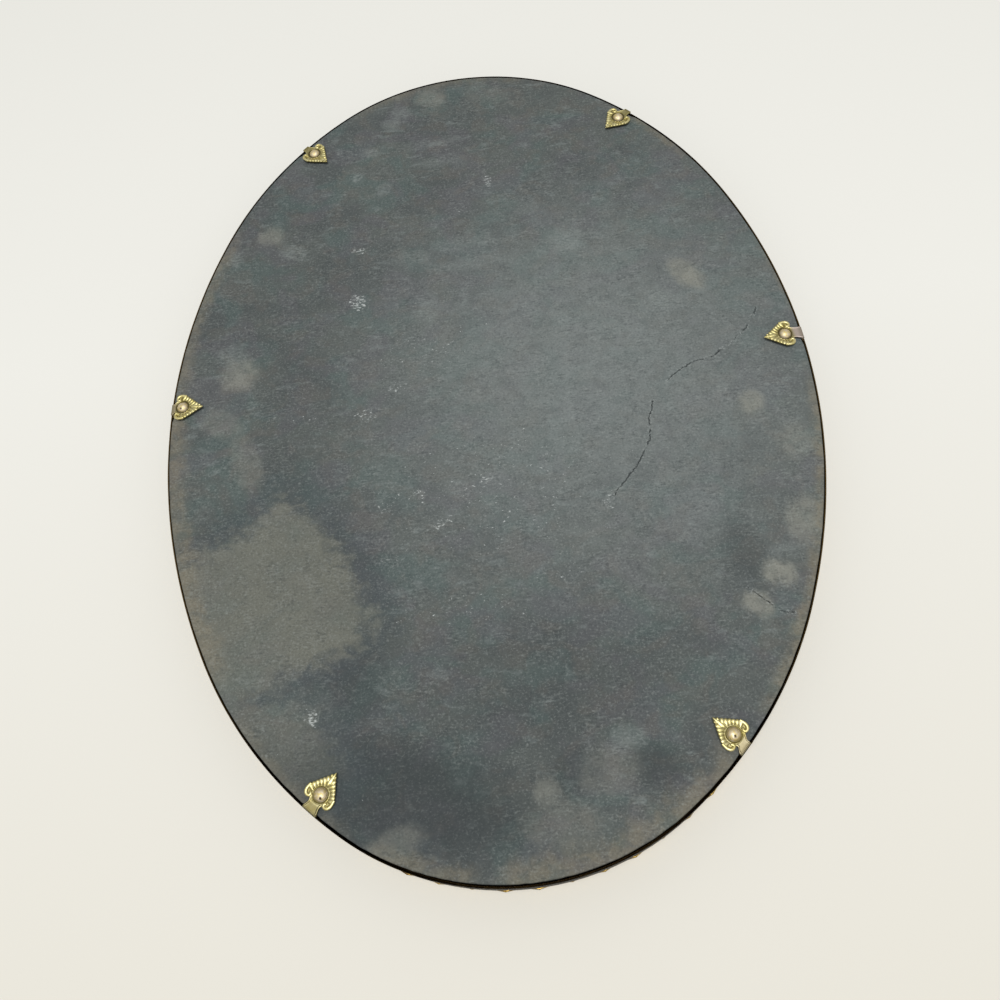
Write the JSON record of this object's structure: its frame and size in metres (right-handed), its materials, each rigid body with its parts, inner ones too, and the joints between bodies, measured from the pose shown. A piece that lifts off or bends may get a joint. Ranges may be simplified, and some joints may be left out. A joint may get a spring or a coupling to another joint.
{
  "type": "oval picture frame",
  "caption": "Oval stamped-brass picture frame lying face down: glazed sight opening, leaf-bordered moulding, and a pulpboard back held by folding palmette clips.",
  "frame": {"origin": "centre of the frame's outline, on the flat crest of its front, which it lies on", "axes": "+Y along the frame's height towards its top, +Z out of its back, +X to the right seen from behind"},
  "size_m": [0.2168, 0.3026, 0.0165],
  "materials": {
    "gilt_brass": "aged gilt, satin",
    "dark_brass": "dark patina",
    "clip_brass": "worn stamped brass",
    "stud_metal": "worn pale plating",
    "pulpboard": "matt, stained",
    "grey_card": "matt",
    "mat_card": "matt",
    "print_paper": "matt",
    "glass": "clear"
  },
  "bodies": {
    "frame": {"front_moulding": "gilt_brass", "sight_bead": "gilt_brass", "leaf_border": "gilt_brass", "rim_band": "dark_brass", "glass_pane": "glass", "picture_mat": "mat_card", "picture_print": "print_paper", "filler_card": "grey_card", "backing_board": "pulpboard", "clip_foot_top_left": "clip_brass", "clip_foot_top_right": "clip_brass", "clip_foot_right": "clip_brass", "clip_foot_bottom_right": "clip_brass", "clip_foot_bottom_left": "clip_brass", "clip_foot_left": "clip_brass"},
    "top_left_clip": {"clip_leaf_top_left": "clip_brass", "clip_stud_top_left": "stud_metal"},
    "top_right_clip": {"clip_leaf_top_right": "clip_brass", "clip_stud_top_right": "stud_metal"},
    "right_clip": {"clip_leaf_right": "clip_brass", "clip_stud_right": "stud_metal"},
    "bottom_right_clip": {"clip_leaf_bottom_right": "clip_brass", "clip_stud_bottom_right": "stud_metal"},
    "bottom_left_clip": {"clip_leaf_bottom_left": "clip_brass", "clip_stud_bottom_left": "stud_metal"},
    "left_clip": {"clip_leaf_left": "clip_brass", "clip_stud_left": "stud_metal"}
  },
  "joints": [
    {"name": "top_left_clip_fold", "type": "hinge", "parent": "frame", "child": "top_left_clip", "pos_m": [-0.06329, 0.12107, 0.0146], "axis": [-0.7022, -0.712, 0], "range_deg": [0, 95]},
    {"name": "top_right_clip_fold", "type": "hinge", "parent": "frame", "child": "top_right_clip", "pos_m": [0.06199, 0.12237, 0.0146], "axis": [-0.712, 0.7022, 0], "range_deg": [0, 95]},
    {"name": "right_clip_fold", "type": "hinge", "parent": "frame", "child": "right_clip", "pos_m": [0.10676, 0.01416, 0.0146], "axis": [-0.0698, 0.9976, 0], "range_deg": [0, 95]},
    {"name": "bottom_right_clip_fold", "type": "hinge", "parent": "frame", "child": "bottom_right_clip", "pos_m": [0.06474, -0.11958, 0.0146], "axis": [0.6909, 0.723, 0], "range_deg": [0, 95]},
    {"name": "bottom_left_clip_fold", "type": "hinge", "parent": "frame", "child": "bottom_left_clip", "pos_m": [-0.05727, -0.1268, 0.0146], "axis": [0.7455, -0.6665, 0], "range_deg": [0, 95]},
    {"name": "left_clip_fold", "type": "hinge", "parent": "frame", "child": "left_clip", "pos_m": [-0.10709, 0.00815, 0.0146], "axis": [-0.0401, -0.9992, 0], "range_deg": [0, 95]}
  ]
}
